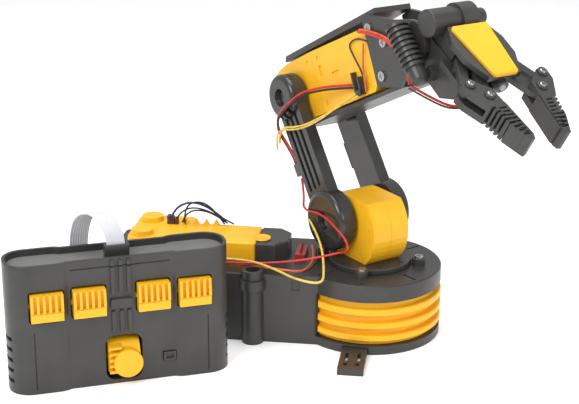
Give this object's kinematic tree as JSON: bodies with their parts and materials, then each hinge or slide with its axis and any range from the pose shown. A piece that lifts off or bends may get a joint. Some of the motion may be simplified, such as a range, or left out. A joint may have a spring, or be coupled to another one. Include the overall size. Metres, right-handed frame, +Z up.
{
  "type": "five-axis robot arm kit",
  "caption": "Desktop robot arm with battery base, turntable, two-bar arm, two-finger gripper and a wired lever controller.",
  "frame": {"origin": "turntable axis at the table plane", "axes": "+X from the battery box towards the round base's free end, +Y away from the controller, +Z up along the turntable axis"},
  "size_m": [0.3362, 0.2226, 0.2369],
  "materials": {
    "yellow_plastic": "satin",
    "black_plastic": "satin",
    "grey_plastic": "matte",
    "steel": "satin",
    "cell_metal": "satin",
    "board": "matte",
    "motor_can": "satin",
    "white_gear": "satin",
    "clear_lens": "polished",
    "wire_sheath": "satin",
    "ribbon_sheath": "satin"
  },
  "bodies": {
    "base": {"base_tray": "black_plastic", "rib_band": "yellow_plastic", "base_deck": "black_plastic", "battery_cells": "cell_metal", "stabiliser_legs": "black_plastic", "base_screws": "steel", "yaw_housing": "yellow_plastic", "yaw_cap": "black_plastic", "yaw_motor": "motor_can", "wire_terminal": "black_plastic", "controller_front": "black_plastic", "controller_rear": "black_plastic", "controller_top": "grey_plastic", "controller_board": "board", "ribbon_clip": "black_plastic", "ribbon_cable": "ribbon_sheath", "housing_wires": "wire_sheath", "deck_wires": "wire_sheath"},
    "lever_1": {"lever_1": "yellow_plastic"},
    "lever_2": {"lever_2": "yellow_plastic"},
    "lever_3": {"lever_3": "yellow_plastic"},
    "lever_4": {"lever_4": "yellow_plastic"},
    "round_lever": {"round_lever": "black_plastic"},
    "lamp_switch": {"lamp_switch": "black_plastic"},
    "turntable": {"turntable": "black_plastic", "shoulder_case_near": "yellow_plastic", "shoulder_case_far": "yellow_plastic", "shoulder_motor": "motor_can", "shoulder_wires": "wire_sheath"},
    "upper_arm": {"upper_arm_near": "black_plastic", "upper_arm_far": "black_plastic", "shoulder_shaft": "steel", "elbow_shaft": "steel", "elbow_wires": "wire_sheath"},
    "forearm": {"elbow_case_near": "yellow_plastic", "elbow_case_far": "yellow_plastic", "elbow_motor": "motor_can", "wrist_case_near": "yellow_plastic", "wrist_case_far": "yellow_plastic", "wrist_drive": "motor_can", "upper_rail": "black_plastic", "lower_rail": "black_plastic", "side_plate_near": "black_plastic", "side_plate_far": "black_plastic", "forearm_screws": "steel", "side_wires": "wire_sheath", "hand_wires": "wire_sheath"},
    "hand": {"hand_frame": "black_plastic", "hand_motor": "black_plastic", "hand_gearbox": "black_plastic", "hand_cover": "yellow_plastic", "ribbed_sleeve": "black_plastic", "lamp_holder": "black_plastic", "lamp_lens": "clear_lens"},
    "drive_link_near": {"drive_link_near": "black_plastic"},
    "guide_link_near": {"guide_link_near": "black_plastic"},
    "finger_near": {"finger_near": "black_plastic"},
    "drive_link_far": {"drive_link_far": "black_plastic"},
    "guide_link_far": {"guide_link_far": "black_plastic"},
    "finger_far": {"finger_far": "black_plastic"}
  },
  "joints": [
    {"name": "base_yaw", "type": "hinge", "parent": "base", "child": "turntable", "pos_m": [0, 0, 0.05], "axis": [0, 0, 1], "range_deg": [-86.5, 183.5], "deforming": ["deck_wires"]},
    {"name": "shoulder_pitch", "type": "hinge", "parent": "turntable", "child": "upper_arm", "pos_m": [-0.00948, 0.01071, 0.0775], "axis": [0.749, 0.6626, 0], "range_deg": [-54, 45], "deforming": ["shoulder_wires"]},
    {"name": "elbow_pitch", "type": "hinge", "parent": "upper_arm", "child": "forearm", "pos_m": [-0.04447, 0.05026, 0.15099], "axis": [-0.749, -0.6626, 0], "range_deg": [-35, 190], "deforming": ["elbow_wires"]},
    {"name": "wrist_pitch", "type": "hinge", "parent": "forearm", "child": "hand", "pos_m": [0.03912, -0.04421, 0.21175], "axis": [0.749, 0.6626, 0], "range_deg": [-80, 25], "deforming": ["hand_wires", "side_wires"]},
    {"name": "grip", "type": "hinge", "parent": "hand", "child": "drive_link_far", "pos_m": [0.07875, -0.07694, 0.20243], "axis": [0.3511, -0.3969, 0.848], "range_deg": [-19.5, 24]},
    {"name": "grip_near", "type": "hinge", "parent": "hand", "child": "drive_link_near", "pos_m": [0.06677, -0.08754, 0.20243], "axis": [-0.3511, 0.3969, -0.848], "range_deg": [-19.5, 24]},
    {"name": "guide_far", "type": "hinge", "parent": "hand", "child": "guide_link_far", "pos_m": [0.07875, -0.06562, 0.20773], "axis": [0.3511, -0.3969, 0.848], "range_deg": [-19.5, 24]},
    {"name": "guide_near", "type": "hinge", "parent": "hand", "child": "guide_link_near", "pos_m": [0.05553, -0.08616, 0.20773], "axis": [-0.3511, 0.3969, -0.848], "range_deg": [-19.5, 24]},
    {"name": "finger_far_turn", "type": "hinge", "parent": "drive_link_far", "child": "finger_far", "pos_m": [0.10123, -0.08423, 0.18971], "axis": [-0.3511, 0.3969, -0.848], "range_deg": [-19.5, 24]},
    {"name": "finger_near_turn", "type": "hinge", "parent": "drive_link_near", "child": "finger_near", "pos_m": [0.07127, -0.11074, 0.18971], "axis": [0.3511, -0.3969, 0.848], "range_deg": [-19.5, 24]},
    {"name": "lever_1_rock", "type": "hinge", "parent": "base", "child": "lever_1", "pos_m": [-0.18765, -0.12676, 0.0575], "axis": [0.9078, 0.4195, 0], "range_deg": [-12, 12], "stiffness_Nm_per_rad": 0.03},
    {"name": "lever_2_rock", "type": "hinge", "parent": "base", "child": "lever_2", "pos_m": [-0.16404, -0.11585, 0.0575], "axis": [0.9078, 0.4195, 0], "range_deg": [-12, 12], "stiffness_Nm_per_rad": 0.03},
    {"name": "lever_3_rock", "type": "hinge", "parent": "base", "child": "lever_3", "pos_m": [-0.12773, -0.09907, 0.0575], "axis": [0.9078, 0.4195, 0], "range_deg": [-12, 12], "stiffness_Nm_per_rad": 0.03},
    {"name": "lever_4_rock", "type": "hinge", "parent": "base", "child": "lever_4", "pos_m": [-0.10413, -0.08817, 0.0575], "axis": [0.9078, 0.4195, 0], "range_deg": [-12, 12], "stiffness_Nm_per_rad": 0.03},
    {"name": "round_lever_rock", "type": "hinge", "parent": "base", "child": "round_lever", "pos_m": [-0.14777, -0.10172, 0.0176], "axis": [0.9078, 0.4195, 0], "range_deg": [-12, 12], "stiffness_Nm_per_rad": 0.03},
    {"name": "lamp_switch_press", "type": "slide", "parent": "base", "child": "lamp_switch", "axis": [-0.4195, 0.9078, 0], "range_m": [0, 0.0015], "stiffness_N_per_m": 300}
  ],
  "couplings": [
    {"joint": "grip_near", "follows": "grip", "ratio": 1},
    {"joint": "guide_far", "follows": "grip", "ratio": 1},
    {"joint": "guide_near", "follows": "grip", "ratio": 1},
    {"joint": "finger_far_turn", "follows": "grip", "ratio": 1},
    {"joint": "finger_near_turn", "follows": "grip", "ratio": 1}
  ]
}
